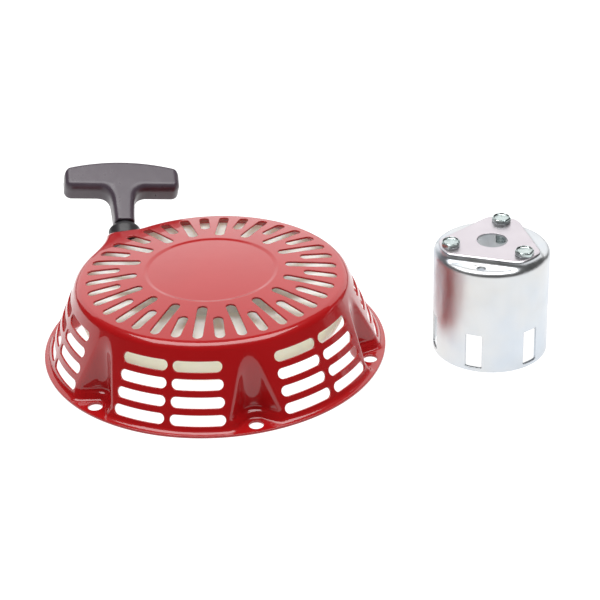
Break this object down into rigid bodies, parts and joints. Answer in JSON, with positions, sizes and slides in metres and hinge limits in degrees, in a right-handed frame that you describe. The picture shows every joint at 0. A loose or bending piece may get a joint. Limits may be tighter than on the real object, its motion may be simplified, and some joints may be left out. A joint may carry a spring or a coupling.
{
  "type": "recoil starter",
  "caption": "Pull-cord recoil starter: slotted domed steel cover, rope reel on a centre post, T-grip, pawls and a separate slotted starter cup.",
  "frame": {"origin": "centre of the flange's bolt circle, on the mounting face", "axes": "+Z along the reel's axis, out of the engine towards the cover's top; +Y away from the viewer, the side that the rope leaves; +X to the right, towards the starter cup"},
  "size_m": [0.2934, 0.2205, 0.0709],
  "materials": {
    "red_paint": "gloss",
    "steel": "satin",
    "black_plastic": "satin",
    "grip_plastic": "satin",
    "nylon": "satin",
    "spring_steel": "satin",
    "rope": "braided",
    "zinc": "bright zinc plate",
    "guide_plastic": "satin"
  },
  "bodies": {
    "cover": {"housing": "red_paint", "centre_post": "steel", "rope_guide": "black_plastic", "thrust_washer": "steel", "centre_screw": "zinc", "friction_spring": "spring_steel"},
    "reel": {"reel": "nylon", "recoil_spring": "spring_steel", "rope_coil": "rope", "reel_knot": "rope", "pawl_spring_1": "spring_steel", "pawl_spring_2": "spring_steel"},
    "ratchet_guide": {"ratchet_guide": "guide_plastic"},
    "pawl_1": {"pawl_1": "steel"},
    "pawl_2": {"pawl_2": "steel"},
    "grip": {"grip": "grip_plastic", "grip_knot": "rope", "rope_lead": "rope"},
    "cup": {"starter_cup": "zinc", "cup_bolts": "zinc"}
  },
  "joints": [
    {"name": "grip_pull", "type": "slide", "parent": "cover", "child": "grip", "axis": [-0.0755, 0.8627, 0.5], "range_m": [0, 0.85], "stiffness_N_per_m": 12, "springref_m": -0.8, "deforming": ["rope_lead"]},
    {"name": "reel_spin", "type": "hinge", "parent": "cover", "child": "reel", "pos_m": [0, 0, 0.03], "axis": [0, 0, 1], "range_deg": [-1170, 0], "deforming": ["recoil_spring"]},
    {"name": "guide_turn", "type": "hinge", "parent": "reel", "child": "ratchet_guide", "pos_m": [0, 0, 0.0108], "axis": [0, 0, 1], "range_deg": [0, 40], "stiffness_Nm_per_rad": 0.02, "springref_deg": -20.05},
    {"name": "pawl_1_swing", "type": "hinge", "parent": "reel", "child": "pawl_1", "pos_m": [0.021, 0, 0.016], "axis": [0, 0, 1], "range_deg": [0, 30]},
    {"name": "pawl_2_swing", "type": "hinge", "parent": "reel", "child": "pawl_2", "pos_m": [-0.021, 0, 0.016], "axis": [0, 0, 1], "range_deg": [0, 30]},
    {"name": "cup_lift", "type": "slide", "parent": "cover", "child": "cup", "axis": [0, 0, 1], "range_m": [0, 0.1]}
  ],
  "couplings": [
    {"joint": "reel_spin", "follows": "grip_pull", "rad_per_m": -24.023},
    {"joint": "pawl_1_swing", "follows": "guide_turn", "ratio": 0.75},
    {"joint": "pawl_2_swing", "follows": "guide_turn", "ratio": 0.75}
  ]
}
